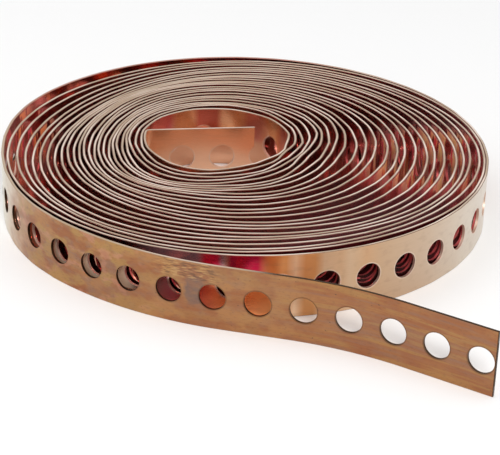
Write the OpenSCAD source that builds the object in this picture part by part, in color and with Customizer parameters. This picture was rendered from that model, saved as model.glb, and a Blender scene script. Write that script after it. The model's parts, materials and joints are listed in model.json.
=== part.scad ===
// A roll of perforated copper strip, lying flat with its last turn pulled out.
// The roll is one turned solid: the gaps between its turns are cut into both
// of its ends. Its free tail and its inner end are bare strip with open holes.

/* [Strip] */
// Width of the strip, which is the height of the roll
strip_w = 19; // [16:0.5:24]
// Thickness of the copper
strip_t = 0.8; // [0.6:0.1:0.9]
// Diameter of each punched hole
hole_d = 7.5; // [6:0.1:8]
// Distance between hole centres along the strip
hole_pitch = 12.5; // [11.5:0.1:13]
// Distance from the cut end to the first hole's centre
hole_first = 4.1; // [4:0.1:6]

/* [Roll] */
// Number of turns from the eye to the outside
turns = 25; // [20:1:26]
// Direction from the middle of the eye to the roll's axis
lean = -27; // [-40:1:-15]
// Reach of the innermost turn on the near side of the roll's axis
eye_near = 13.2; // [12:0.1:15]
// Reach of the innermost turn on the far side
eye_far = 34.2; // [30:0.1:36]
// Distance between turns on the near side
near_step = 2.52; // [2.3:0.02:2.6]
// Distance between turns on the far side
far_step = 1.7; // [1.6:0.02:1.8]
// Depth of the gaps between the turns, from each end
gap_depth = 6; // [2:0.5:8]

/* [Free tail] */
// How far the last turn runs past the far side before it leaves the roll
leave_angle = 72; // [68:1:80]
// Radius of the stretch that opens away from the roll
open_r = 100; // [95:1:115]
// Angle of the stretch that opens away from the roll
open_angle = 31.5; // [27:0.5:33]
// Length of the straight stretch between the two bends
mid_len = 19; // [12:1:24]
// Radius of the bend back
back_r = 104; // [95:1:120]
// Angle of the bend back
back_angle = 18; // [16:0.5:21]
// Length of the straight stretch at the cut end
end_len = 25.5; // [22:0.5:35]

/* [Inner end] */
// Direction of the inner end, which crosses the eye
chord_turn = 6; // [0:1:12]
// Distance from the roll's axis at which the inner end passes it
chord_offset = 13.2; // [10:0.1:15]
// How far the inner end reaches past the axis
chord_end = 4; // [0:0.5:8]
// How far past the inner end's edge its cut-off hole is centred
chord_hole = 2.4; // [2:0.1:3.5]

/* [Hidden] */
$fn = 180;

// How far a cutting tool passes a face
slip = 1;
// Angle along the innermost turn of the first hole in its wall
eye_hole_turn = 6.5;
// Holes in the wall of the eye after that one and before it
eye_holes_after = 5;
eye_holes_before = 4;
// Flat facets along the bare strip
tail_facets = 80;

// Reach of a turn's outer face where the spiral crosses the line along lean.
// Crossing 0 is on the near side, 1 on the far side, 2 on the near side again.
function reach(i) = i % 2 == 0 ? eye_near + i / 2 * near_step
                               : eye_far + (i - 1) / 2 * far_step;

// Half turn i runs from crossing i to crossing i + 1, about a centre on the line
function half_r(i) = (reach(i) + reach(i + 1)) / 2;
function half_x(i) = (i % 2 == 0 ? 1 : -1) * (reach(i) - reach(i + 1)) / 2;
function half_start(i) = i % 2 == 0 ? 0 : 180;
last_half = 2 * turns - 1;

// A place on the strip's outer face is [x, y, heading], with the copper to its left
function go(p, len) = [p.x + len * cos(p[2]), p.y + len * sin(p[2]), p[2]];
function left(p, r, a) =
    [p.x + r * (sin(p[2] + a) - sin(p[2])), p.y - r * (cos(p[2] + a) - cos(p[2])), p[2] + a];
function right(p, r, a) = left(p, -r, -a);
function on_half(i, a) =
    let (at = half_start(i) + a)
    [half_x(i) + half_r(i) * cos(at), half_r(i) * sin(at), at + 90];

// The free tail, from where it leaves the roll to its cut end
leave = on_half(last_half, leave_angle);
opened = left(leave, open_r, open_angle);
middle = go(opened, mid_len);
backed = right(middle, back_r, back_angle);
cut_end = go(backed, end_len);

// Lengths from the cut end to where each stretch begins
function arc(r, a) = r * a * PI / 180;
function angle(r, len) = len / r * 180 / PI;
to_back = end_len;
to_middle = to_back + arc(back_r, back_angle);
to_open = to_middle + mid_len;
to_leave = to_open + arc(open_r, open_angle);
to_far = to_leave + arc(half_r(last_half), leave_angle);
to_near = to_far + arc(half_r(last_half - 1), 180);
shown = to_near + arc(half_r(last_half - 2), 90);

// The place at length s from the cut end
function along(s) =
    s < to_back ? go(cut_end, -s)
    : s < to_middle ? right(middle, back_r, angle(back_r, to_middle - s))
    : s < to_open ? go(opened, to_open - s)
    : s < to_leave ? left(leave, open_r, angle(open_r, to_leave - s))
    : s < to_far ? on_half(last_half, angle(half_r(last_half), to_far - s))
    : s < to_near ? on_half(last_half - 1, angle(half_r(last_half - 1), to_near - s))
    : on_half(last_half - 2, 180 - angle(half_r(last_half - 2), s - to_near));

// The point at a depth inside the outer face
function face(p, depth) = [p.x - depth * sin(p[2]), p.y + depth * cos(p[2])];

// The inner end, seen along its own direction, starts in the wall of the eye
chord_lean = chord_turn - lean;
eye_along = half_x(-1) * cos(chord_lean);
eye_aside = -half_x(-1) * sin(chord_lean);
wall_r = half_r(-1) - strip_t / 2;
chord_start = eye_along - sqrt(pow(wall_r, 2) - pow(chord_offset + strip_t / 2 - eye_aside, 2));

// The origin is on the floor, in the middle of the rectangle that the strip covers
function to_world(p) = [p.x * cos(lean) - p.y * sin(lean), p.x * sin(lean) + p.y * cos(lean)];
rim_c = to_world([half_x(last_half - 1), 0]);
rim_r = half_r(last_half - 1);
left_c = to_world([half_x(last_half), 0]);
left_r = half_r(last_half);
x_middle = (rim_c.x + rim_r + left_c.x - left_r) / 2;
y_middle = (rim_c.y + rim_r + to_world(cut_end).y) / 2;

// The half disc that half turn i bounds, drawn in by inset
module half_disc(i, inset) {
    side = 4 * reach(last_half);
    translate([half_x(i), 0]) intersection() {
        circle(r = half_r(i) - inset);
        translate([-side / 2, i % 2 == 0 ? 0 : -side]) square(side);
    }
}

// The gap between half turn i and the turn around it
module gap(i) {
    difference() {
        half_disc(i + 2, strip_t);
        half_disc(i, 0);
    }
}

// The tool of a hole at p, between two depths inside the outer face
module hole(p, from, to) {
    translate([p.x, p.y, strip_w / 2]) rotate([-90, 0, p[2]])
        translate([0, 0, from]) cylinder(d = hole_d, h = to - from);
}

module roll() {
    difference() {
        linear_extrude(strip_w) {
            half_disc(last_half - 1, 0);
            half_disc(last_half - 2, 0);
        }
        translate([0, 0, -slip]) linear_extrude(strip_w + 2 * slip) {
            half_disc(0, strip_t);
            half_disc(-1, strip_t);
        }
        for (i = [-1 : last_half - 3], z = [-slip, strip_w - gap_depth])
            translate([0, 0, z]) linear_extrude(gap_depth + slip) gap(i);
    }
}

// The bare strip, from the far side of the roll to the cut end
module tail() {
    stations = [for (k = [0 : tail_facets]) along(k / tail_facets * to_far)];
    outer = [for (p = stations) face(p, 0)];
    inner = [for (k = [tail_facets : -1 : 0]) face(stations[k], strip_t)];
    linear_extrude(strip_w) polygon(concat(outer, inner));
}

module inner_end() {
    rotate([0, 0, chord_lean]) difference() {
        translate([chord_start, chord_offset]) cube([chord_end - chord_start, strip_t, strip_w]);
        for (k = [0 : 2])
            hole([chord_end + chord_hole - k * hole_pitch, chord_offset, 0], -slip, strip_t + slip);
    }
}

// Each hole goes through the strip, and ends on the core where a turn backs it
module holes() {
    for (s = [hole_first : hole_pitch : shown])
        hole(along(s), -slip, strip_t + slip / 2);
    before = hole_pitch - arc(half_r(0), eye_hole_turn);
    for (k = [0 : eye_holes_after])
        hole(on_half(0, eye_hole_turn + angle(half_r(0), k * hole_pitch)), -slip / 2, strip_t + slip);
    for (k = [0 : eye_holes_before - 1])
        hole(on_half(-1, 180 - angle(half_r(-1), before + k * hole_pitch)), -slip / 2, strip_t + slip);
}

module copper_strip() {
    color([0.72, 0.46, 0.3]) translate([-x_middle, -y_middle]) rotate([0, 0, lean]) {
        difference() {
            union() {
                roll();
                tail();
            }
            holes();
        }
        inner_end();
    }
}

copper_strip();
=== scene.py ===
# %% [markdown]
# # A roll of perforated copper strip
#
# The real thing is a single piece: nearly eight metres of thin copper strip, with
# a hole punched every half inch, rolled up and laid flat. A cylinder with rings
# painted on its ends would do from far away. Here the whole strip is made, because
# the eye looks straight into the gaps between the turns. The plan is:
#
# 1. read the sizes that the solid model fixes,
# 2. work out the line that the strip follows, from its cut end to its inner end,
# 3. model one short length of flat strip with one hole in it,
# 4. let Geometry Nodes repeat that length and wrap it along the line,
# 5. give the copper its finish, and set up the floor, the light and the camera.

# %% Load the frame
import json
from functools import partialmethod
from math import atan2, ceil, cos, degrees, dist, pi, radians, sin, sqrt
from types import SimpleNamespace

import bmesh
import bpy
from mathutils import Matrix, Vector


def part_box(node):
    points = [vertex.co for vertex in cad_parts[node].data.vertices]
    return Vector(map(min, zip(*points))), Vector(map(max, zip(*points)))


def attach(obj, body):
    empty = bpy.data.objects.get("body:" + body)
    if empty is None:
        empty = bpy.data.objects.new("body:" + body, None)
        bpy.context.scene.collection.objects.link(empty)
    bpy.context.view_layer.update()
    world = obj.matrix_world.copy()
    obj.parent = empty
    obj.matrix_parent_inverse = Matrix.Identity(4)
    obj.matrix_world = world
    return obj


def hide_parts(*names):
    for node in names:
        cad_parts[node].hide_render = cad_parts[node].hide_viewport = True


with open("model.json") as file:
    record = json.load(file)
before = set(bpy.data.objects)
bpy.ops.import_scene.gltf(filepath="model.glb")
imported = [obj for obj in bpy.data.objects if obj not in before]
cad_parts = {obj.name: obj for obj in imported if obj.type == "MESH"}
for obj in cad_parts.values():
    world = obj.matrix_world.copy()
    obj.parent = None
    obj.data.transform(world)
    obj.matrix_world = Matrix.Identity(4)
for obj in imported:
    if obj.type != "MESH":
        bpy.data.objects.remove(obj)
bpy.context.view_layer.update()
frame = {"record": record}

# %% [markdown]
# ## Sizes
#
# Width, thickness and hole size come from the frame, so the strip can't drift away
# from the solid that it stands for. The numbers after them say how it is wound, in
# metres. The solid uses nearly the same ones: only its inner end lies a
# little differently, because here it needs room for a real fold.

# %% Sizes of the strip
bores = {mount["name"]: mount["dims"] for mount in frame["record"]["mounts"] if mount["kind"] == "bore"}
low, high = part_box("copper_strip")
WIDTH = high.z - low.z
THICKNESS = bores["hole_1"]["length_mm"] / 1000
HOLE_RADIUS = bores["hole_1"]["r_mm"] / 1000
HOLE_PITCH = 0.0125
HOLE_FIRST = 0.0041
print(f"Strip {WIDTH * 1000:.1f} x {THICKNESS * 1000:.1f} mm, holes {HOLE_RADIUS * 2000:.1f} mm")

# %% Sizes of the turns
# A line through the axis, turned by LEAN, has the wide gaps on its near side and
# the narrow ones on its far side. EYE is where the innermost turn crosses it.
TURNS = 25
LEAN = radians(-27)
EYE_NEAR = 0.0132
EYE_FAR = 0.0342
NEAR_STEP = 0.00252
FAR_STEP = 0.0017
print(f"{TURNS} turns, {FAR_STEP * 1000:.2f} to {NEAR_STEP * 1000:.2f} mm apart")

# %% Sizes of the two ends
# The inner end crosses the eye like a chord, as far as a cut beside a hole's centre
LEAVE_ANGLE = radians(72)
OPEN_RADIUS = 0.1
OPEN_ANGLE = radians(31.5)
MID_LENGTH = 0.019
BACK_RADIUS = 0.104
BACK_ANGLE = radians(18)
END_LENGTH = 0.0255
CHORD_TURN = radians(8)
CHORD_OFFSET = 0.0136
CHORD_END = 0.0045
CHORD_HOLE = 0.0024
FOLD_RADIUS = 0.0015
tail_length = OPEN_RADIUS * OPEN_ANGLE + MID_LENGTH + BACK_RADIUS * BACK_ANGLE + END_LENGTH
print(f"The tail is {tail_length * 1000:.1f} mm long")

# %% [markdown]
# ## The line that the strip follows
#
# A strip wound around an off-centre eye makes a spiral whose turns are close on one
# side and wide apart on the other. Half circles draw such a spiral exactly: each
# one starts where the last one crossed a fixed line, a little farther out. The
# angle phi counts on from turn to turn, so phi / 2 pi is the number of the turn.

# %% The even spiral
FULL_TURN = 2 * pi


def reach(crossing):
    """How far from the roll's axis the spiral crosses the line."""
    if crossing % 2 == 0:
        return EYE_NEAR + crossing / 2 * NEAR_STEP
    return EYE_FAR + (crossing - 1) / 2 * FAR_STEP


def half_turn(index):
    """Radius and centre of one half circle. The centre lies on the line."""
    side = 1 if index % 2 == 0 else -1
    radius = (reach(index) + reach(index + 1)) / 2
    return radius, side * (reach(index) - reach(index + 1)) / 2


def even_radius(phi):
    """How far the even spiral is from the axis at an angle."""
    radius, centre = half_turn(int(phi // pi))
    return centre * cos(phi) + sqrt(radius**2 - (centre * sin(phi)) ** 2)


# The tail leaves from the last half circle
last_radius, last_centre = half_turn(2 * TURNS - 1)
leave_x = last_centre - last_radius * cos(LEAVE_ANGLE)
leave_y = -last_radius * sin(LEAVE_ANGLE)
leave_phi = (TURNS - 1) * FULL_TURN + atan2(leave_y, leave_x) % FULL_TURN
print(f"It leaves after {leave_phi / FULL_TURN:.2f} turns")

# %% [markdown]
# ## How the turns really lie
#
# Hand-wound strip never lies evenly. Bunches of turns touch, others leave a gap
# that light falls into. Each bunch below pushes the turns near one place inwards or
# outwards, and a little sway does the rest. The push is counted in steps between
# turns.

# %% The loose places
# Each is a direction in degrees, its width, the turn, its spread and the push
BUNCHES = [
    (140, 50, 19.5, 6, -3.1),
    (165, 45, 15, 8, -3.0),
    (165, 45, 7, 5, -1.4),
    (-20, 60, 6, 6, -1.7),
    (0, 50, 20, 6, 1.0),
    (-50, 40, 17, 4, 0.8),
    (-134, 30, 4, 5, 1.9),
    (-140, 35, 15.5, 4, -0.6),
    (-115, 30, 9, 4, -0.9),
    (-120, 35, 20, 4, 0.5),
    (90, 30, 1.6, 1.2, 0.7),
]
# The outermost turn follows no bunch, but it has a dent: direction, width and push
LAST_TURN_DENT = (-172, 25, -0.8)
CALM_FROM = 1.1
CALM_OVER = 0.45
print(len(BUNCHES), "bunches")

# %% All the pushes together
JITTER = 0.35


def off_by(phi, direction):
    """How far an angle is from a direction on the floor, in degrees."""
    return (degrees(phi + LEAN) - direction + 180) % 360 - 180


def hump(offset, width):
    """A smooth hump, 1 at its middle and 0 beyond twice its width."""
    if abs(offset) >= 2 * width:
        return 0.0
    return (0.5 + 0.5 * cos(pi * offset / (2 * width))) ** 2


def sway(phi):
    """A wave that never repeats from turn to turn, between -1 and 1."""
    return (sin(1.7 * phi) + sin(2.9 * phi + 1) + sin(4.3 * phi + 2)) / 3


def push(phi):
    """How many steps a point lies out of its even place."""
    turn = phi / FULL_TURN
    amount = JITTER * sway(phi)
    for direction, width, at_turn, spread, size in BUNCHES:
        amount += size * hump(off_by(phi, direction), width) * hump(turn - at_turn, spread)
    amount *= min(1.0, max(0.0, (TURNS - CALM_FROM - turn) / CALM_OVER))
    direction, width, size = LAST_TURN_DENT
    if turn > TURNS - 1:
        amount += size * hump(off_by(phi, direction), width)
    return amount


def step_at(phi):
    """Distance between turns in a direction."""
    return (NEAR_STEP + FAR_STEP) / 2 + (NEAR_STEP - FAR_STEP) / 2 * cos(phi)


print(f"The middle turn is pushed by {push(TURNS * pi):.2f} steps")

# %% [markdown]
# ## The radius at every station
#
# The spiral is worked out backwards, from the tail to the eye. Two things change
# the pushed radius. The strip is weak at its holes and bends there, so it stays a
# little flatter between them. And turns can't pass through each other: where a
# push would do that, the inner turn stops just short of the outer one.

# %% Radii of the whole spiral
STATIONS = 180
SMALLEST_GAP = 0.00006
STIFFNESS = 0.4
FIRST_PHI = -pi
station = FULL_TURN / STATIONS
phis = [FIRST_PHI + i * station for i in range(ceil((leave_phi - FIRST_PHI) / station))]


def flattening(length, radius):
    """How far inside its arc the strip lies, 0 at a hole's centre."""
    phase = (length - HOLE_FIRST) / HOLE_PITCH % 1
    sagitta = HOLE_PITCH**2 / (8 * radius)
    return STIFFNESS * sagitta * 4 * phase * (1 - phase)


def spiral_radii():
    """The radius at each station, counted outwards."""
    found = [0.0] * len(phis)
    length = tail_length
    for i in reversed(range(len(phis))):
        radius = even_radius(phis[i]) + push(phis[i]) * step_at(phis[i])
        found[i] = radius - flattening(length, radius)
        if i + STATIONS < len(phis):
            found[i] = min(found[i], found[i + STATIONS] - THICKNESS - SMALLEST_GAP)
        length += found[i] * station
    return found


radii = spiral_radii()
gaps = [outer - inner - THICKNESS for inner, outer in zip(radii, radii[STATIONS:])]
print(f"Gaps between turns from {min(gaps) * 1000:.2f} to {max(gaps) * 1000:.2f} mm")

# %% [markdown]
# ## The two ends
#
# They aren't part of the spiral. Outside, the strip opens away from the roll, bends
# back and runs straight to its cut end. Inside, it folds sharply and crosses the
# eye. A walker that knows its place and its heading draws both.

# %% A walker
class Walker:
    """Walks over the floor and keeps the points that it passes."""

    def __init__(self, point, heading):
        self.x, self.y = point
        self.heading = heading
        self.points = [point]

    def ahead(self, length, steps=10):
        """Walks straight on."""
        for _ in range(steps):
            self.x += length / steps * cos(self.heading)
            self.y += length / steps * sin(self.heading)
            self.points.append((self.x, self.y))
        return self

    def bend(self, radius, angle, steps=16):
        """Turns left by a positive angle, right by a negative one."""
        chord = 2 * radius * sin(abs(angle) / steps / 2)
        for _ in range(steps):
            self.heading += angle / steps / 2
            self.ahead(chord, 1)
            self.heading += angle / steps / 2
        return self


def leaned(x, y):
    """A point given along and across the line, on the floor."""
    return x * cos(LEAN) - y * sin(LEAN), x * sin(LEAN) + y * cos(LEAN)


start_heading = LEAVE_ANGLE + 1.5 * pi + LEAN
print(f"The tail sets off at {degrees(start_heading) % 360:.0f} degrees")

# %% The free tail
tail = Walker(leaned(leave_x, leave_y), start_heading)
tail.bend(OPEN_RADIUS, OPEN_ANGLE).ahead(MID_LENGTH)
tail.bend(BACK_RADIUS, -BACK_ANGLE).ahead(END_LENGTH)
print("The tail ends at", [round(v * 1000, 1) for v in tail.points[-1]])

# %% The inner end
# The fold starts at the first station, counted from outside, from which the end
# passes far enough behind the axis.
FOLD_STEPS = 10
turns = [leaned(r * cos(phi), r * sin(phi)) for phi, r in zip(phis, radii)]


def folded(index):
    """A walker that leaves the turns at a station and folds into the eye."""
    (x0, y0), (x1, y1) = turns[index + 1], turns[index]
    walker = Walker((x1, y1), atan2(y1 - y0, x1 - x0))
    away = (walker.heading - CHORD_TURN) % FULL_TURN
    return walker.bend(FOLD_RADIUS, -away, FOLD_STEPS)


def offset_of(walker):
    """How far behind the roll's axis the inner end would pass."""
    return walker.y * cos(CHORD_TURN) - walker.x * sin(CHORD_TURN)


first_half_turn = reversed(range(STATIONS // 2))
fold_at = next(i for i in first_half_turn if offset_of(folded(i)) > CHORD_OFFSET)
inner_end = folded(fold_at)
reached = inner_end.x * cos(CHORD_TURN) + inner_end.y * sin(CHORD_TURN)
inner_end.ahead(CHORD_END - reached)
print(f"The inner end crosses {(CHORD_END - reached) * 1000:.1f} mm of the eye")

# %% [markdown]
# ## The whole line
#
# It runs from the cut end inwards, along the strip's outer face. The solid model's
# origin is in the middle of the floor that the strip covers, so the line
# is moved until its own middle is there.

# %% Join the three lengths
line = tail.points[::-1] + turns[fold_at + 1:][::-1] + inner_end.points
xs, ys = [x for x, y in line], [y for x, y in line]
middle_x = (max(xs) + min(xs)) / 2 - (low.x + high.x) / 2
middle_y = (max(ys) + min(ys)) / 2 - (low.y + high.y) / 2
line = [(x - middle_x, y - middle_y) for x, y in line]
roll_axis = Vector((-middle_x, -middle_y, 0))
strip_length = sum(dist(a, b) for a, b in zip(line, line[1:]))
print(f"The line is {strip_length:.3f} m long")

# %% [markdown]
# ## Where the holes fall
#
# The press punches them at one pitch, from the cut end to the cut at the inner end.
# Whether holes of neighbouring turns face each other depends on the exact length of
# each turn. So in two hidden stretches, behind the tail and in the near wall of the
# eye, the holes are eased a little wider apart, which puts those in sight where
# they belong.

# %% Pitch and eased stretches
BEHIND_TAIL = {"Ease": 0.003, "Start": 0.517, "End": 0.566}
EYE_EASE, EYE_START, EYE_END = 0.0049, 0.082, 0.027
flat_length = strip_length - BEHIND_TAIL["Ease"] - EYE_EASE
EYE_WALL = {"Ease": EYE_EASE, "Start": flat_length - EYE_START, "End": flat_length - EYE_END}
EASES = {"Outer": BEHIND_TAIL, "Inner": EYE_WALL}
cells = round((flat_length + CHORD_HOLE - HOLE_FIRST) / HOLE_PITCH)
pitch = (flat_length + CHORD_HOLE - HOLE_FIRST) / cells
print(f"{cells + 1} holes, {pitch * 1000:.3f} mm apart")

# %% [markdown]
# ## One hole's worth of strip
#
# A boolean could punch six hundred holes, but it leaves long thin triangles that
# shade badly once they are bent. It is better to model one short length around one
# hole: a ring of points on the hole, a ring on the edges of the strip, and faces
# between them. The slit edges get a small chamfer, which catches the light. The
# last cell at each end is the same one, cut where the real strip was snipped.
# Holes that are seen from close by get a finer cell than the hundreds inside.

# %% The ring on the cell's edge
CHAMFER = 0.00012
PLAIN_STEPS = 4
FINE_STEPS = 12
SIDE_STEPS = 4
HALF_SIDE = SIDE_STEPS // 2


def edge_ring(steps):
    """Places on the cell's edge, from the middle of its right side, up to 1 each way."""
    ring = [(1, i / HALF_SIDE) for i in range(HALF_SIDE)]
    ring += [(1 - 2 * i / steps, 1) for i in range(steps)]
    ring += [(-1, 1 - i / HALF_SIDE) for i in range(SIDE_STEPS)]
    ring += [(2 * i / steps - 1, -1) for i in range(steps)]
    return ring + [(1, i / HALF_SIDE - 1) for i in range(HALF_SIDE)]


print(len(edge_ring(PLAIN_STEPS)), "points around a plain cell")

# %% Its faces around the hole
def add_round_faces(bm, steps):
    """Both faces and the wall of the hole. Gives back the outlines of the faces."""
    ring = edge_ring(steps)
    sides = 4 * steps
    turn = FULL_TURN / sides
    circle = [(HOLE_RADIUS * cos(i * turn), HOLE_RADIUS * sin(i * turn)) for i in range(sides)]
    partner = [round(i * len(ring) / sides) % len(ring) for i in range(sides)]
    edges, holes = [], []
    for y in (0.0, THICKNESS):
        edges.append([bm.verts.new((x * pitch / 2, y, z * (WIDTH / 2 - CHAMFER))) for x, z in ring])
        holes.append([bm.verts.new((x, y, z)) for x, z in circle])
    for i in range(sides):
        j = (i + 1) % sides
        for edge, hole in zip(edges, holes):
            corners = [edge[partner[i]], edge[partner[j]]][: 1 + (partner[i] != partner[j])]
            bm.faces.new(corners + [hole[j], hole[i]])
        bm.faces.new((holes[0][i], holes[0][j], holes[1][j], holes[1][i]))
    return edges


print("A plain hole has", 4 * PLAIN_STEPS, "sides")

# %% Its slit edges and its cut
CUT_TOLERANCE = 1e-7


def add_slit_edge(bm, edges, first, steps, up):
    """The upper or lower edge: a chamfer, the cut face, and another chamfer."""
    outer, inner = edges
    z = up * WIDTH / 2
    columns = []
    for i in range(first, first + steps + 1):
        rim = [bm.verts.new((outer[i].co.x, y, z)) for y in (CHAMFER, THICKNESS - CHAMFER)]
        columns.append([outer[i], *rim, inner[i]])
    for left, right in zip(columns, columns[1:]):
        for a in range(3):
            bm.faces.new((left[a], left[a + 1], right[a + 1], right[a]))


def snip(bm, cut, side):
    """Cuts the cell off at a place and closes it. Side is -1 to take off its left."""
    everything = bm.verts[:] + bm.edges[:] + bm.faces[:]
    plane = {"plane_co": (cut, 0, 0), "plane_no": (side, 0, 0)}
    bmesh.ops.bisect_plane(bm, geom=everything, clear_outer=True, **plane)
    on_cut = {v for v in bm.verts if abs(v.co.x - cut) < CUT_TOLERANCE}
    open_edges = [e for e in bm.edges if e.is_boundary and on_cut.issuperset(e.verts)]
    bmesh.ops.holes_fill(bm, edges=open_edges)


print(f"The chamfer is {CHAMFER * 1000:.2f} mm wide")

# %% The four cells
WELD = 1e-6


def build_cell(name, steps, *cut):
    """A flat length of strip around a hole, its thickness along Y. A cut is a place and a side."""
    bm = bmesh.new()
    edges = add_round_faces(bm, steps)
    add_slit_edge(bm, edges, HALF_SIDE, steps, up=1)
    add_slit_edge(bm, edges, HALF_SIDE + steps + SIDE_STEPS, steps, up=-1)
    bmesh.ops.remove_doubles(bm, verts=bm.verts, dist=WELD)
    bmesh.ops.recalc_face_normals(bm, faces=bm.faces)
    if cut:
        snip(bm, *cut)
    mesh = bpy.data.meshes.new(name)
    bm.to_mesh(mesh)
    bm.free()
    return bpy.data.objects.new(name, mesh)


cell_shapes = {
    "Plain Cell": build_cell("plain_cell", PLAIN_STEPS),
    "Fine Cell": build_cell("fine_cell", FINE_STEPS),
    "First Cell": build_cell("first_cell", FINE_STEPS, -HOLE_FIRST, -1),
    "Last Cell": build_cell("last_cell", FINE_STEPS, -CHORD_HOLE, 1),
}
for title, cell in cell_shapes.items():
    print(title, "has", len(cell.data.polygons), "faces")

# %% [markdown]
# ## A short way to write nodes
#
# Node trees are clumsy to write out in Python. Two small classes help. A Wire is
# the output of a node, and adding or multiplying wires adds the Math nodes. A Tree
# adds any other node: its settings are set first, and then the values or wires of
# its sockets.

# %% Wires
class Wire:
    """An output socket that Python's operators work on."""

    def __init__(self, tree, socket):
        self.tree, self.socket = tree, socket

    def math(self, operation, *others):
        """A Math node that takes this wire first."""
        return self.tree.math(operation, self, *others)

    def __rsub__(self, other):
        return self.tree.math("SUBTRACT", other, self)

    __add__ = __radd__ = partialmethod(math, "ADD")
    __mul__ = __rmul__ = partialmethod(math, "MULTIPLY")
    __sub__ = partialmethod(math, "SUBTRACT")
    __truediv__ = partialmethod(math, "DIVIDE")
    __gt__ = partialmethod(math, "GREATER_THAN")
    __lt__ = partialmethod(math, "LESS_THAN")


print("Made", Wire.__name__)

# %% Trees
class Tree:
    """Adds nodes to a node tree."""

    def __init__(self, node_tree):
        node_tree.nodes.clear()
        self.nodes, self.links = node_tree.nodes, node_tree.links

    def node(self, kind, settings=None, sockets=None, output=0):
        """Adds a node and gives back the wire of one of its outputs."""
        node = self.nodes.new(kind)
        for name, value in (settings or {}).items():
            if name == "stops":
                self.set_stops(node.color_ramp, value)
            else:
                setattr(node, name, value)
        for key, value in (sockets or {}).items():
            for one in value if isinstance(value, list) else [value]:
                if isinstance(one, Wire):
                    self.links.new(one.socket, node.inputs[key])
                else:
                    node.inputs[key].default_value = one
        return Wire(self, node.outputs[output]) if node.outputs else node

    def set_stops(self, ramp, stops):
        """Gives a colour ramp its stops, from left to right."""
        while len(ramp.elements) < len(stops):
            ramp.elements.new(1.0)
        for element, (place, colour) in zip(ramp.elements, stops):
            element.position = place
            element.color = (*colour, 1.0)

    def math(self, operation, *values):
        """A Math node. It takes numbers only."""
        return self.node("ShaderNodeMath", {"operation": operation}, dict(enumerate(values)))

    def vector(self, operation, sockets):
        """A Vector Math node."""
        return self.node("ShaderNodeVectorMath", {"operation": operation}, sockets)

    def split(self, vector):
        """The three parts of a vector."""
        return [self.node("ShaderNodeSeparateXYZ", {}, {"Vector": vector}, letter) for letter in "XYZ"]

    def join(self, **parts):
        """A vector made of its parts."""
        return self.node("ShaderNodeCombineXYZ", {}, parts)


print("Made", Tree.__name__)

# %% [markdown]
# ## Repeat the cell and wrap it along the line
#
# An Array and a Curve modifier could do this too, but they squeeze the strip where
# it bends tightly. The tree below lays all the cells out flat in a row, welds them,
# and then moves every point: its X becomes a length along the line, and its Y a
# distance towards the inside of the bend. Before that it stores where each point
# was on the flat strip, so the finish can follow the strip along its turns.

# %% What the tree is told
NUMBERS = ["First Hole", "Pitch"] + [f"{place} {part}" for place in EASES for part in EASES[place]]
INPUTS = {
    "Line": "Geometry",
    **dict.fromkeys(cell_shapes, "Object"),
    **dict.fromkeys(NUMBERS, "Float"),
    **dict.fromkeys(["Cells", "Fine Outside", "Fine Inside"], "Int"),
    "Material": "Material",
}


def add_inputs(group, tree):
    for name, kind in INPUTS.items():
        group.interface.new_socket(name, in_out="INPUT", socket_type="NodeSocket" + kind)
    group.interface.new_socket("Strip", in_out="OUTPUT", socket_type="NodeSocketGeometry")
    inputs = group.nodes.new("NodeGroupInput")
    return {socket.name: Wire(tree, socket) for socket in inputs.outputs if socket.name}


print(f"The tree has {len(INPUTS)} inputs")

# %% The flat strip
ROW_WELD = 1e-5


def flat_strip(tree, given):
    """All the cells in a row, the fine ones near both ends."""
    pitch_wire, first, count = given["Pitch"], given["First Hole"], given["Cells"]

    def shape(name):
        return tree.node("GeometryNodeObjectInfo", {}, {"Object": given[name]}, "Geometry")

    def placed(name, length):
        sockets = {"Geometry": shape(name), "Translation": tree.join(X=length)}
        return tree.node("GeometryNodeTransform", {}, sockets)

    start, step = tree.join(X=first + pitch_wire), tree.join(X=pitch_wire)
    sockets = {"Count": count - 1, "Start Location": start, "Offset": step}
    row = tree.node("GeometryNodeMeshLine", {"mode": "OFFSET"}, sockets)
    index = tree.node("GeometryNodeInputIndex")
    plain = (index > given["Fine Outside"]) * (index < count - given["Fine Inside"])
    middle = []
    for name, chosen in (("Plain Cell", plain), ("Fine Cell", 1 - plain)):
        sockets = {"Points": row, "Instance": shape(name), "Selection": chosen}
        middle.append(tree.node("GeometryNodeInstanceOnPoints", {}, sockets))
    begin = placed("First Cell", first)
    end = placed("Last Cell", first + pitch_wire * count)
    joined = tree.node("GeometryNodeJoinGeometry", {}, {"Geometry": [end, *middle, begin]})
    flat = tree.node("GeometryNodeRealizeInstances", {}, {"Geometry": joined})
    return tree.node("GeometryNodeMergeByDistance", {}, {"Geometry": flat, "Distance": ROW_WELD})


print(f"Points closer than {ROW_WELD * 1000} mm are welded")

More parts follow.
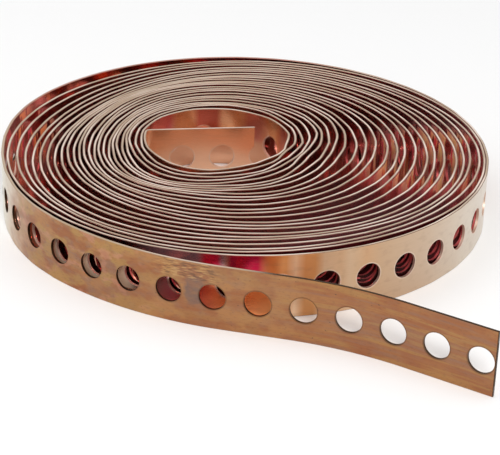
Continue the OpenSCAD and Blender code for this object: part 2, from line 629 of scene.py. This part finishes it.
# %% The wrapping
def wrapped(tree, given, flat):
    """Moves each point from the flat strip to its place beside the line."""
    along, depth, across = tree.split(tree.node("GeometryNodeInputPosition"))
    store = {"data_type": "FLOAT_VECTOR"}
    kept = {"Geometry": flat, "Name": "flat", "Value": tree.join(X=along, Y=across, Z=depth)}
    marked = tree.node("GeometryNodeStoreNamedAttribute", store, kept)
    eased = along
    for place in EASES:
        span = {"Value": along, "From Min": given[place + " Start"], "From Max": given[place + " End"]}
        eased = eased + given[place + " Ease"] * tree.node("ShaderNodeMapRange", {}, span)
    curve = tree.node("GeometryNodeMeshToCurve", {}, {"Mesh": given["Line"]})
    settings = {"mode": "LENGTH", "use_all_curves": False}
    sample = {"Curves": curve, "Length": eased}
    on_line = tree.node("GeometryNodeSampleCurve", settings, sample, "Position")
    ahead = tree.node("GeometryNodeSampleCurve", settings, sample, "Tangent")
    inwards = tree.vector("CROSS_PRODUCT", {0: ahead, 1: (0, 0, 1)})
    moved = tree.vector("ADD", {0: on_line, 1: tree.vector("SCALE", {0: inwards, "Scale": depth})})
    moved = tree.vector("ADD", {0: moved, 1: tree.join(Z=across + WIDTH / 2)})
    return tree.node("GeometryNodeSetPosition", {}, {"Geometry": marked, "Position": moved})


print(f"The strip is lifted by {WIDTH / 2 * 1000:.1f} mm")

# %% The whole tree
def wrapping_tree():
    """Turns a line and four cells into the rolled strip."""
    group = bpy.data.node_groups.new("wrap_strip", "GeometryNodeTree")
    tree = Tree(group)
    given = add_inputs(group, tree)
    rolled = wrapped(tree, given, flat_strip(tree, given))
    sockets = {"Geometry": rolled, "Material": given["Material"]}
    dressed = tree.node("GeometryNodeSetMaterial", {}, sockets)
    tree.node("NodeGroupOutput", {}, {0: dressed})
    return group


wrap = wrapping_tree()
print(f"The tree has {len(wrap.nodes)} nodes")

# %% [markdown]
# ## Copper
#
# Bare copper is a metal with a strong colour of its own, so light that bounces
# between two turns goes from orange to deep red. A metallic surface does that by
# itself. The rest is painted on: the brown film on the tail, the colours of the
# hidden turns, the mill's fine lines and the paler slit edges, and also painted
# reflections, painted light and painted shade between the turns, behind the tail
# and around the eye. All of it is one material, because it is one strip. The
# material asks where a point lay on the flat strip, and the answer says which part
# of the roll it is in.

# %% Tools for painting
MM = 0.001


def coated(name):
    """A new material and its tree."""
    material = bpy.data.materials.new(name)
    material.use_nodes = True
    return material, Tree(material.node_tree)


def surface(tree, sockets):
    """Ends a material's tree with its surface."""
    shader = tree.node("ShaderNodeBsdfPrincipled", {}, sockets)
    tree.node("ShaderNodeOutputMaterial", {}, {"Surface": shader})


def mixed(factor, first, second):
    """Blends two colours."""
    sockets = {0: factor, 6: first, 7: second}
    return factor.tree.node("ShaderNodeMix", {"data_type": "RGBA"}, sockets, 2)


def painted(colour, *coats):
    """Paints coats over a colour. A coat is its mask and its colour."""
    for mask, paint in coats:
        colour = mixed(mask, colour, paint)
    return colour


def between(value, start, end):
    """0 up to the start, 1 from the end on, and smooth in between."""
    sockets = {"Value": value, "From Min": start, "From Max": end}
    return value.tree.node("ShaderNodeMapRange", {"interpolation_type": "SMOOTHSTEP"}, sockets)


def stretch(value, start, full, fade=None, gone=None):
    """1 on a stretch in mm, which comes in from start to full and fades until gone."""
    mask = between(value, start * MM, full * MM)
    if fade is not None:
        mask = mask * between(value, gone * MM, fade * MM)
    return mask


def distance(first, second):
    """The length of the diagonal, from two lengths at right angles."""
    return (first * first + second * second).math("SQRT")


print("Painting counts in units of", MM, "m")

# %% Where a point lies on the flat strip
SKIN = 0.05 * MM
EDGE_SHARE = 0.9


def places(tree):
    """Wires that say where a point lies, and on what."""
    flat = tree.node("ShaderNodeAttribute", {"attribute_name": "flat"}, {}, "Vector")
    along, across, depth = tree.split(flat)
    cell = (along - HOLE_FIRST) / pitch + 0.5
    from_middle = across.math("ABSOLUTE")
    outer = depth < SKIN
    return SimpleNamespace(
        tree=tree,
        run=lambda *marks: stretch(along, *marks),
        along=along,
        across=across,
        depth=depth,
        outer=outer,
        from_middle=from_middle,
        from_end=strip_length - along,
        from_hole=distance((cell.math("FRACT") - 0.5) * pitch, across),
        below_edge=WIDTH / 2 - from_middle,
        edge=from_middle > WIDTH / 2 - CHAMFER * EDGE_SHARE,
        wall=(depth > SKIN) * (depth < THICKNESS - SKIN) * (from_middle < WIDTH / 3),
    )


print(f"A face is {SKIN / MM:.2f} mm deep")

# %% [markdown]
# ## Patches of colour
#
# Nothing about old copper is even. Each patchy thing below is the same cloudy
# noise, stretched along or across the strip: long and thin for what the mill or a
# wiping hand left, round for what air and damp did. Every one has its own seed, so
# no two line up.

# %% The patches
# Length and height in mm, detail and seed
PATCHES = {
    "clouds": (11, 6, 4, 0),
    "flecks": (3.5, 2, 4, 5),
    "streaks": (45, 0.7, 3, 9),
    "blots": (17, 12, 3, 40),
    "olive": (8, 5, 3, 55),
    "rose": (6, 4, 3, 65),
    "bands": (26, 1.6, 3, 15),
    "wrinkles": (2.6, 0.5, 2, 33),
    "grit": (1.2, 0.5, 3, 70),
    "specks": (1.1, 0.8, 1, 3),
    "redness": (30, 20, 2, 20),
    "shade_hues": (9, 30, 2, 80),
    "glow_spots": (5, 16, 2, 50),
    "tint hues": (7, 16, 2, 60),
    "glints": (1.6, 4, 1, 90),
    "slit edge": (26, 9, 3, 12),
    "mill lines": (18, 0.22, 2, 30),
}


def patches(at, name):
    """Cloudy noise between 0 and 1, and mostly near its middle."""
    length, height, detail, seed = PATCHES[name]
    place = at.tree.join(X=at.along / (length * MM), Y=at.across / (height * MM), Z=seed)
    sockets = {"Vector": place, "Scale": 1.0, "Detail": detail}
    return at.tree.node("ShaderNodeTexNoise", {}, sockets)


print(f"There are {len(PATCHES)} kinds of patches")

# %% [markdown]
# ## The brown film on the tail
#
# The tail lay open to the air, so it has a dull brown film, with clouds of ochre,
# mauve blots, olive and rosy patches, streaks, specks, and one stained place with
# wrinkled film above it. One noise would look like camouflage. Several of different
# sizes, each on its own stretch of the tail, look like wear.

# %% The film
BROWN = (0.335, 0.135, 0.065, 1)
OCHRE = (0.425, 0.21, 0.09, 1)
MAUVE = (0.29, 0.175, 0.125, 1)
STRAW = (0.6, 0.38, 0.17, 1)
OLIVE = (0.45, 0.27, 0.1, 1)
ROSE = (0.56, 0.27, 0.18, 1)
DARK = (0.14, 0.085, 0.06, 1)
SMOKE = (0.2, 0.135, 0.115, 1)
# Stretches in mm from the cut end
MOTTLED = (35, 75)
TANNED = (40, 50, 95, 120)
NEAR_ROLL = (88, 112)
NEAR_CUT = (70, 45)


def film(at, noise):
    """Brown in clouds, blots and streaks."""
    mottled = at.run(*MOTTLED)
    tanned = at.run(*TANNED)
    near_roll = at.run(*NEAR_ROLL)
    near_cut = at.run(*NEAR_CUT)
    clouds = between(noise.clouds, 0.45, 0.6) * (mottled * 0.55 + 0.3)
    streaks = between(noise.streaks, 0.35, 0.65) * 0.2
    flecks = between(noise.flecks, 0.48, 0.66) * (mottled * 0.4 - tanned * 0.25 + 0.15)
    blots = between(patches(at, "blots"), 0.54, 0.6) * (mottled * 0.45 - tanned * 0.25)
    olive = between(patches(at, "olive"), 0.48, 0.6) * (near_roll * 0.45 + mottled * 0.25)
    rose = between(patches(at, "rose"), 0.54, 0.64) * near_roll * 0.5
    bands = patches(at, "bands")
    pale_bands = between(bands, 0.5, 0.6) * near_cut * 0.45
    dull_bands = between(bands, 0.46, 0.38) * near_cut * 0.45
    low_middle = stretch((at.across + 1 * MM).math("ABSOLUTE"), 7, 2)
    wiped = low_middle * (0.35 - tanned * 0.2) * between(noise.streaks, 0.35, 0.6)
    return painted(
        BROWN,
        (clouds + streaks + tanned * 0.12, OCHRE),
        (flecks, MAUVE),
        (blots, MAUVE),
        (olive, OLIVE),
        (rose, ROSE),
        (pale_bands, OLIVE),
        (dull_bands, MAUVE),
        (wiped, MAUVE),
    )


print(f"The film is mottled from {MOTTLED[1]} mm on")

# %% The stained place
STAIN_PLACE = (84, 1)
STAIN_REACH = (5.6, 4.6)
STAIN_FLATNESS = sqrt(0.5)
WRINKLED = (76, 80, 92, 97)
WRINKLED_ABOVE = (3.5, 5)


def stained(at, noise, brown):
    """A ragged grey smudge, wrinkled film above it, and dark dirt all over."""
    off_x = at.along - STAIN_PLACE[0] * MM
    off_y = (at.across - STAIN_PLACE[1] * MM) * STAIN_FLATNESS
    smudge = stretch(distance(off_x, off_y) + noise.flecks * 4 * MM, *STAIN_REACH)
    wrinkles = patches(at, "wrinkles")
    wrinkled = at.run(*WRINKLED) * stretch(at.across, *WRINKLED_ABOVE)
    grit = between(patches(at, "grit"), 0.5, 0.75)
    specks = between(patches(at, "specks"), 0.74, 0.78)
    return painted(
        brown,
        (smudge * (between(noise.flecks, 0.35, 0.6) * 0.35 + 0.45), SMOKE),
        (between(wrinkles, 0.54, 0.6) * wrinkled * 0.6, DARK),
        (between(wrinkles, 0.46, 0.4) * wrinkled * 0.5, STRAW),
        (grit * 0.3, DARK),
        (specks * 0.8, DARK),
    )


print(f"The stain is {STAIN_PLACE[0]} mm from the cut end")

# %% [markdown]
# ## The outside of the last turn
#
# From the tail onwards the strip gets cleaner: brown, then greyish, then nearly
# bare copper. Its pale beige on the right is a painted reflection of the bright
# surroundings. Behind the tail, the orange, crimson and plum are painted reflections
# of the tail's inner face in the tail's shade, and the pale colours seen through the
# tail's holes are painted light. A colour ramp along the strip gives each place its
# colour. A chain of masks would be far longer.

# %% Colours along the outer face
# Places in mm from the cut end. The first of them lie under the film. From about
# 435 to 485 mm the beige is a painted reflection, from 500 to 562 mm behind the tail
# the colours are painted reflections, and from 567 mm on the pale colours are
# painted light through the tail's holes
FADING = [
    (150, 0.54, 0.36, 0.24), (160, 0.64, 0.53, 0.415), (172, 0.72, 0.68, 0.585),
    (195, 0.7, 0.66, 0.575), (230, 0.6, 0.51, 0.41), (260, 0.66, 0.4, 0.27),
    (400, 0.68, 0.42, 0.28), (435, 0.72, 0.65, 0.57), (462, 0.68, 0.59, 0.49),
    (485, 0.58, 0.43, 0.31), (500, 0.55, 0.37, 0.235), (506, 0.6, 0.36, 0.2),
    (509, 0.66, 0.48, 0.32), (513, 0.66, 0.42, 0.25), (518.5, 0.72, 0.53, 0.35),
    (520, 0.66, 0.34, 0.14), (523, 0.68, 0.35, 0.15), (524.3, 0.82, 0.61, 0.42),
    (526, 0.82, 0.6, 0.4), (527.4, 0.7, 0.32, 0.12), (534.9, 0.9, 0.38, 0.15),
    (544.3, 0.92, 0.36, 0.15), (549.9, 0.75, 0.2, 0.15), (557.5, 0.62, 0.18, 0.2),
    (562, 0.7, 0.34, 0.3), (567, 0.95, 0.75, 0.58), (640, 1.0, 0.78, 0.62),
]


def fading(length, colours):
    """A colour that changes along the strip."""
    far = colours[-1][0] * MM
    stops = [(place * MM / far, colour) for place, *colour in colours]
    return length.tree.node("ShaderNodeValToRGB", {"stops": stops}, {"Fac": length / far})


print(f"The outer face has {len(FADING)} colours")

# %% The outer face
PLUM = (0.4, 0.2, 0.22, 1)
CRIMSON = (0.5, 0.015, 0.055, 1)
RAGGED_UNTIL = (430, 400)
FILM_ENDS = (156, 178)
PLUM_FROM = (540.5, 544.3)
FIRST_CRIMSON = (531, 535, 541.4, 543.4)
SECOND_CRIMSON = (543.4, 545.2, 548, 550)


def outer_face(at, noise):
    """The film on the tail, then the colours of the last turn: wear, painted reflections and painted
    light.
    """
    brown = stained(at, noise, film(at, noise))
    ragged = (noise.clouds - 0.5) * 20 * MM * at.run(*RAGGED_UNTIL)
    high = stretch(at.across + noise.clouds * 3 * MM, 2, 4)
    crimson = at.run(*FIRST_CRIMSON) + at.run(*SECOND_CRIMSON)
    worn_and_reflected = painted(
        fading(at.along + ragged, FADING),
        # Plum and crimson behind the tail are painted reflections of its inner face
        (high * at.run(*PLUM_FROM), PLUM),
        (high * crimson, CRIMSON),
        (between(noise.flecks, 0.5, 0.7) * 0.15, MAUVE),
    )
    return mixed(stretch(at.along + noise.clouds * 30 * MM, *FILM_ENDS), brown, worn_and_reflected)


print(f"The film ends {FILM_ENDS[1]} mm from the cut end")

# %% [markdown]
# ## The inner face and the eye
#
# Between the turns the copper has kept its colour. It is redder in some places,
# older on the tail, and on the left and the back of the first turn it has painted
# shade in dark red and russet. Around the eye it changes in bands, from orange to
# dark red and back again: these bands are painted reflections. A second ramp gives
# these bands, and it counts from the inner end.

# %% The inner face
CLEAN = (0.95, 0.5, 0.41, 1)
RED = (0.85, 0.3, 0.3, 1)
AGED = (0.8, 0.47, 0.3, 1)
MAROON = (0.4, 0.1, 0.08, 1)
RUSSET = (0.66, 0.26, 0.11, 1)
OLD_TAIL = (175, 140)
# Painted shade on the first turn's inner face, at its left and back
SHADED_BACK = (175, 200, 310, 345)


def inner_face(at):
    """Clean copper, redder here and there, old on the tail, and painted shade at the back."""
    redness = patches(at, "redness")
    shaded = at.run(*SHADED_BACK) * between(redness, 0.62, 0.56)
    shade_hues = between(patches(at, "shade_hues"), 0.46, 0.54)
    return painted(
        CLEAN,
        (between(redness, 0.4, 0.65) * 0.7, RED),
        (at.run(*OLD_TAIL), AGED),
        (shaded * 0.85, mixed(shade_hues, MAROON, RUSSET)),
    )


print(f"It is rusty from {SHADED_BACK[1]} to {SHADED_BACK[2]} mm")

# %% Colours around the eye
# Places in mm from the inner end. The bands are painted reflections
EYE_REFLECTION_BANDS = [
    (35, 0.86, 0.545, 0.365), (60, 0.88, 0.55, 0.36), (100, 0.88, 0.48, 0.31),
    (112, 0.8, 0.42, 0.28), (119, 0.72, 0.34, 0.28), (124, 0.66, 0.3, 0.27),
    (126, 0.8, 0.36, 0.22), (128.5, 0.94, 0.62, 0.38), (131, 0.9, 0.56, 0.34),
    (133, 0.78, 0.38, 0.22), (136, 0.66, 0.26, 0.2), (140, 0.6, 0.22, 0.17),
    (143, 0.78, 0.44, 0.25), (149, 0.78, 0.44, 0.25), (151, 0.48, 0.12, 0.08),
    (157, 0.5, 0.13, 0.09), (159, 0.7, 0.38, 0.21), (165, 0.68, 0.36, 0.2),
    (168, 0.55, 0.14, 0.14), (176, 0.85, 0.3, 0.3),
]
LOW_WALL = (0.72, 0.42, 0.27, 1)
LOW_WALL_FROM = (124, 130)
BELOW = (2, -1)
EYE_REACH = (184, 176)


def eye_wall(at):
    """The bands of painted reflection, which the lower part of the back wall lacks."""
    low_wall = stretch(at.across, *BELOW) * stretch(at.from_end, *LOW_WALL_FROM)
    return mixed(low_wall, fading(at.from_end, EYE_REFLECTION_BANDS), LOW_WALL)


print(f"The eye has {len(EYE_REFLECTION_BANDS)} colours")

# %% [markdown]
# ## Painted light between the turns
#
# Where turns lie loose, light falls into the gaps and glows gold, orange and
# scarlet on the right, a little scarlet on the left. A real gap gets its glow from
# dozens of reflections, and a renderer follows only a few. So the glow is painted
# on in spots, as painted reflections with pale painted glints on the right, and
# these spots are made less metallic, because then they scatter light back at once.
# Right and left are places on the floor, so here the material asks where a point
# is in the object.

# %% Loose places on both sides
# Colours of painted reflection and painted glints in the loose gaps
GLINT = (1.0, 0.84, 0.66, 1)
GOLD = (1.0, 0.7, 0.34, 1)
ORANGE = (1.0, 0.36, 0.13, 1)
SCARLET = (0.8, 0.09, 0.12, 1)
# Painted reflection: the mauve of the gaps at the front right
PURPLE = (0.8, 0.42, 0.47, 1)
RIGHT_PLACE = (57, -3)
LEFT_PLACE = (-70, 4)
LEFT_NARROWNESS = 2
LOOSE_REACH = (30, 14)
GLOW_BELOW = (0.2, 0.9)


def loose_places(tree):
    """Masks of four places: right, left, front right, and the bunched back left."""
    x, y = tree.split(tree.node("ShaderNodeTexCoord", {}, {}, "Object"))[:2]
    x, y = x - roll_axis.x, y - roll_axis.y
    right = distance(x - RIGHT_PLACE[0] * MM, y - RIGHT_PLACE[1] * MM)
    left = distance((x - LEFT_PLACE[0] * MM) * LEFT_NARROWNESS, y - LEFT_PLACE[1] * MM)
    right = stretch(right, *LOOSE_REACH)
    left = stretch(left, *LOOSE_REACH)
    front_right = stretch(x * 0.87 - y * 0.5, 15, 60)
    bunched = stretch(y * 0.91 - x * 0.42, 15, 40)
    return right, left, front_right, bunched


def gap_glow(at, right):
    """Painted reflections in scarlet and orange, with gold and pale painted glints on the right."""
    hues = patches(at, "tint hues")
    glints = patches(at, "glints")
    return painted(
        SCARLET,
        (between(hues, 0.42, 0.48), ORANGE),
        (between(hues, 0.47, 0.53) * right, GOLD),
        (between(glints, 0.58, 0.64) * right, GLINT),
    )


print(f"It is loose {RIGHT_PLACE[0]} mm right of the axis")

# %% [markdown]
# ## Edges and holes
#
# The strip was slit from a wide sheet, and the shears left an edge paler than its
# faces; part of that paleness is a painted highlight, and the edge's sides are
# painted shade. Of most inner turns it is all that shows, so it matters more than
# the faces do. It is duller in patches and where the turns are bunched, and on the
# tail its upper edge is dark. So are the rims and the walls of the tail's holes,
# while those farther in are pale, a painted highlight, and red, a painted reflection.

# %% The slit edges
# The pale middle of the edge is partly a painted highlight; its darker sides are painted shade
SLIT = (0.8, 0.67, 0.58, 1)
SLIT_DULL = (0.46, 0.345, 0.24, 1)
SLIT_SIDE = (0.22, 0.125, 0.09, 1)
DARK_EDGE = (0.055, 0.028, 0.014, 1)
SLIT_SIDES = (0.18, 0.3)
DULL_FRONT = (98, 112, 200, 230)
DULL_UNTIL = (190, 170)
MAROON_EDGE = (185, 215, 320, 345)
DARK_UNTIL = (72, 60)
UPPER = (-1, 1)


def slit_edge(at, bunched):
    """Pale in its middle, partly a painted highlight, with painted shade at its sides, dull in bunches
    and dark on the tail.
    """
    cloud = patches(at, "slit edge")
    side = stretch((at.depth - THICKNESS / 2).math("ABSOLUTE"), *SLIT_SIDES)
    return painted(
        SLIT,
        (between(cloud, 0.4, 0.6) * 0.85, SLIT_DULL),
        (bunched * 0.5, SLIT_DULL),
        (side * (1 - bunched * 0.55), SLIT_SIDE),
        (at.run(*MAROON_EDGE) * 0.5, MAROON),
        (at.run(*DULL_UNTIL) * 0.5, SLIT_DULL),
        (at.run(*DULL_FRONT) * 0.6, SLIT_DULL),
        (at.run(*DARK_UNTIL) * stretch(at.across, *UPPER), DARK_EDGE),
    )


print(f"It gets darker {SLIT_SIDES[0]} mm from its middle")

# %% The rims and walls of the holes
# The pale rims and walls are painted highlights; the red walls farther in are painted reflection
RIM = (0.74, 0.59, 0.475, 1)
RIM_OUTSIDE = HOLE_RADIUS + 0.45 * MM
RIM_INSIDE = HOLE_RADIUS + 0.15 * MM
PALER_RIMS = (70, 300)
FAINTER_RIMS = (60, 120)
BRIGHTER_RIMS = (200, 400)
PALE_WALLS = (300, 420)
RED_WALLS = (640, 760)


def rim_coat(at):
    """A ring around each hole: dark on the tail, then a faint and later a bright painted highlight."""
    ring = between(at.from_hole, RIM_OUTSIDE, RIM_INSIDE)
    fainter = at.run(*FAINTER_RIMS) * -0.45
    strength = fainter + at.run(*BRIGHTER_RIMS) * 0.6 + 0.5
    return ring * strength, mixed(at.run(*PALER_RIMS), DARK_EDGE, RIM)


def wall_colour(at, in_eye):
    """The walls of the holes: dark on the tail, then pale as a painted highlight, and red farther in as
    a painted reflection.
    """
    return painted(
        DARK_EDGE,
        (at.run(*PALE_WALLS), RIM),
        (at.run(*RED_WALLS) * (1 - in_eye) * 0.8, SCARLET),
    )


print(f"A rim is {(RIM_OUTSIDE - HOLE_RADIUS) / MM:.2f} mm wide")

# %% [markdown]
# ## The whole finish
#
# The coats below go on in the order of the real thing: first the face, then what
# lies in its gaps and shows through its holes, then rims, scratches, walls and
# edges. Bump adds the mill's fine lines. Roughness and metallic follow the same
# masks, so that a dull place is dull in every way.

# %% What shows through the holes
# Seen through holes: painted shade in dark red, painted light in pale and orange
SHADE_RED = (0.4, 0.03, 0.055, 1)
LIT_ORANGE = (0.78, 0.2, 0.09, 1)
LIT = (0.95, 0.68, 0.47, 1)
FACED_INWARDS = (610, 660)
SHADE_RED_PLACE = (720, 780, 1000, 1080)
BEHIND_HOLES = (565, 570, 640, 650)
LIT_ORANGE_PLACE = (595, 599, 611, 614)
HOLE_ROW = (5.5, 4.5)


def second_turn(at, outside, inside):
    """From the second turn on the outer face is like the inner one. Seen through the holes at the right
    front, dark red is painted shade, and behind the tail's holes pale and orange patches are painted
    light.
    """
    covered = at.run(*FACED_INWARDS)
    shade_red = at.run(*SHADE_RED_PLACE) * at.outer
    row = at.outer * stretch(at.from_middle, *HOLE_ROW)
    lit = row * at.run(*BEHIND_HOLES)
    lit_orange = lit * at.run(*LIT_ORANGE_PLACE)
    colour = painted(
        outside,
        (covered, mixed(shade_red * 0.92, inside, SHADE_RED)),
        (lit * 0.9, LIT),
        (lit_orange * 0.9, LIT_ORANGE),
    )
    return colour, covered, shade_red, lit, lit_orange


print(f"It is covered from {FACED_INWARDS[1]} mm on")

# %% The face
IN_GAPS_FROM = (180, 200)


def face(at, noise, in_eye):
    """The colour of both faces, and how much of its mirror each place has lost."""
    inside = mixed(in_eye, inner_face(at), eye_wall(at))
    outside, covered, shade_red, lit, lit_orange = second_turn(at, outer_face(at, noise), inside)
    right, left, front_right, bunched = loose_places(at.tree)
    in_gap = covered * at.outer + (1 - at.outer)
    in_gap = in_gap * (1 - in_eye) * (1 - at.edge) * (1 - at.wall)
    in_gap = in_gap * at.run(*IN_GAPS_FROM)
    # Spots of painted glow in the loose gaps
    spots = between(patches(at, "glow_spots"), 0.44, 0.49)
    spots = spots * stretch(at.below_edge, *GLOW_BELOW) * right.math("MAXIMUM", left)
    plain = mixed(at.outer, inside, outside)
    tinted = painted(
        plain,
        # Mauve painted reflection in the front right gaps
        (front_right * (1 - shade_red) * 0.7, PURPLE),
        (spots, gap_glow(at, right)),
    )
    lost = in_gap * (spots * 0.95 + front_right * 0.04 + 0.005) + lit * 0.5 + lit_orange * 0.1
    return mixed(in_gap, plain, tinted), lost, bunched


print(f"Tints start {IN_GAPS_FROM[0]} mm from the cut end")

# %% The copper
CUT_END = (0.3, 0.1)
FILM_ROUGH_UNTIL = (560, 520)
SLOT_PLACE = (535, 542, 559, 569)
GRAIN_DEPTH = 0.02 * MM
GRAIN_STRENGTH = 0.35


def copper():
    """The one material of the strip."""
    material, tree = coated("tarnished_copper")
    at = places(tree)
    noise = SimpleNamespace(**{name: patches(at, name) for name in ("clouds", "flecks", "streaks")})
    lines = patches(at, "mill lines")
    in_eye = stretch(at.from_end, *EYE_REACH)
    colour, lost, bunched = face(at, noise, in_eye)
    colour = painted(
        colour,
        rim_coat(at),
        (at.run(*CUT_END), DARK_EDGE),
        (between(lines, 0.55, 0.75) * 0.14, MAUVE),
        (at.wall, wall_colour(at, in_eye)),
        (at.edge, slit_edge(at, bunched)),
    )
    slot = at.outer * at.run(*SLOT_PLACE)
    film_rough = at.outer * at.run(*FILM_ROUGH_UNTIL) * 0.2
    roughness = film_rough + lines * 0.1 + 0.1 + (at.edge + at.wall) * 0.35 + in_eye * 0.08
    height = lines * 0.6 + noise.streaks * 0.4
    relief = {"Height": height, "Distance": GRAIN_DEPTH, "Strength": GRAIN_STRENGTH}
    sockets = {
        "Base Color": colour,
        "Metallic": 1 - lost - slot * 0.2,
        "Roughness": roughness,
        "Normal": tree.node("ShaderNodeBump", {}, relief),
    }
    surface(tree, sockets)
    return material


finish = copper()
print(f"The copper has {len(finish.node_tree.nodes)} nodes")

# %% [markdown]
# ## Make the strip
#
# A mesh of points and edges carries the line into Geometry Nodes. The modifier's
# inputs are set by their identifiers, because their names are only labels. Then
# its result becomes a plain mesh, and the line and the cells can go. The strip
# stands for the solid model's only part.

# %% Carry the line
FINE_OUTSIDE = 48
FINE_INSIDE = 11


def in_scene(name, data):
    """A new object in the scene."""
    item = bpy.data.objects.new(name, data)
    bpy.context.scene.collection.objects.link(item)
    return item


def line_object():
    """The line as a mesh of edges, with the wrapping tree on it."""
    mesh = bpy.data.meshes.new("line")
    mesh.from_pydata([(x, y, 0) for x, y in line], [(i, i + 1) for i in range(len(line) - 1)], [])
    carrier = in_scene("line", mesh)
    modifier = carrier.modifiers.new("wrap", "NODES")
    modifier.node_group = wrap
    values = {
        **cell_shapes,
        **{f"{place} {part}": value for place, ease in EASES.items() for part, value in ease.items()},
        "First Hole": HOLE_FIRST,
        "Pitch": pitch,
        "Cells": cells,
        "Fine Outside": FINE_OUTSIDE,
        "Fine Inside": FINE_INSIDE,
        "Material": finish,
    }
    for item in wrap.interface.items_tree:
        if item.name in values:
            modifier[item.identifier] = values[item.name]
    return carrier


carrier = line_object()
print(f"The line has {len(carrier.data.vertices)} points")

# %% Turn it into the strip
SMOOTH_BELOW = radians(35)


def rolled_strip(carrier):
    """The evaluated result as a plain mesh of its own."""
    seen = carrier.evaluated_get(bpy.context.evaluated_depsgraph_get())
    mesh = bpy.data.meshes.new_from_object(seen)
    mesh.name = "copper_strip_turns"
    mesh.shade_smooth()
    mesh.set_sharp_from_angle(angle=SMOOTH_BELOW)
    return in_scene("copper_strip_turns", mesh)


strip = rolled_strip(carrier)
for spare in (carrier, *cell_shapes.values()):
    bpy.data.objects.remove(spare)
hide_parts("copper_strip")
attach(strip, "root")
print(f"The strip has {len(strip.data.polygons)} faces")

# %% [markdown]
# ## The floor
#
# A plain pale floor holds the roll's shadow and gives the copper something bright
# to mirror. It is so large that its edge is never in sight.

# %% Lay the floor
FLOOR_SIZE = 6.0
FLOOR_WHITE = (0.9, 0.9, 0.9, 1)
FLOOR_ROUGHNESS = 0.9

half = FLOOR_SIZE / 2
floor_mesh = bpy.data.meshes.new("floor")
corners = [(-half, -half, 0), (half, -half, 0), (half, half, 0), (-half, half, 0)]
floor_mesh.from_pydata(corners, [], [(0, 1, 2, 3)])
pale, floor_tree = coated("pale_floor")
surface(floor_tree, {"Base Color": FLOOR_WHITE, "Roughness": FLOOR_ROUGHNESS})
floor_mesh.materials.append(pale)
floor = in_scene("floor", floor_mesh)
print(f"The floor is {FLOOR_SIZE} m wide")

# %% [markdown]
# ## Light
#
# Metal shows what it mirrors, so a white world does most of the work, and two lamps
# add highlights and a direction. The world looks brighter than it shines: rays from
# the camera and mirrored rays see pure white, while the light that reaches the
# floor and the dull places is softer.

# %% Lamps
# Place, size and watts
LAMPS = {"key": ((0.15, -0.9, 0.8), 0.3, 7), "fill": ((-0.5, 0.1, 0.9), 0.9, 2)}
for name, (place, size, watts) in LAMPS.items():
    lamp = bpy.data.lights.new(name, "AREA")
    lamp.size = size
    lamp.energy = watts
    holder = in_scene(name, lamp)
    holder.location = roll_axis + Vector(place)
    holder.rotation_euler = (-Vector(place)).to_track_quat("-Z", "Y").to_euler()
    print(f"The {name} lamp gives {watts} watts")

# %% White world
WHITE = (1, 1, 1, 1)
SHINES = 0.7
LOOKS = 1.0
world = bpy.data.worlds.new("studio")
world.use_nodes = True
sky = Tree(world.node_tree)
seen_by = ("Is Camera Ray", "Is Glossy Ray")
camera_ray, glossy_ray = (sky.node("ShaderNodeLightPath", {}, {}, ray) for ray in seen_by)
shown = camera_ray.math("MAXIMUM", glossy_ray)
light = sky.node("ShaderNodeBackground", {}, {"Color": WHITE, "Strength": SHINES})
white = sky.node("ShaderNodeBackground", {}, {"Color": WHITE, "Strength": LOOKS})
both = sky.node("ShaderNodeMixShader", {}, {0: shown, 1: light, 2: white})
sky.node("ShaderNodeOutputWorld", {}, {"Surface": both})
bpy.context.scene.world = world
bpy.context.scene.view_settings.view_transform = "Standard"
print(f"The world shines at {SHINES} and looks {LOOKS}")

# %% [markdown]
# ## Camera
#
# It looks at the roll from the front, about 26 degrees down. A long lens from far
# away keeps the turns from looking bigger in front than behind. Its place is
# counted in widths of the strip from the axis.

# %% Place the camera
CAMERA_PLACE = Vector((0.1132, -25.6872, 12.2948)) * WIDTH
TILT = radians(90 - 26.44)
ROLL = radians(1.77)
LENS = 126
NEAREST, FARTHEST = 0.01, 20

camera_data = bpy.data.cameras.new("camera")
camera_data.lens = LENS
camera_data.clip_start, camera_data.clip_end = NEAREST, FARTHEST
camera = in_scene("camera", camera_data)
camera.location = roll_axis + CAMERA_PLACE
camera.rotation_euler = (Matrix.Rotation(TILT, 4, "X") @ Matrix.Rotation(ROLL, 4, "Z")).to_euler()
bpy.context.scene.camera = camera
print(f"It stands {CAMERA_PLACE.length:.2f} m away")
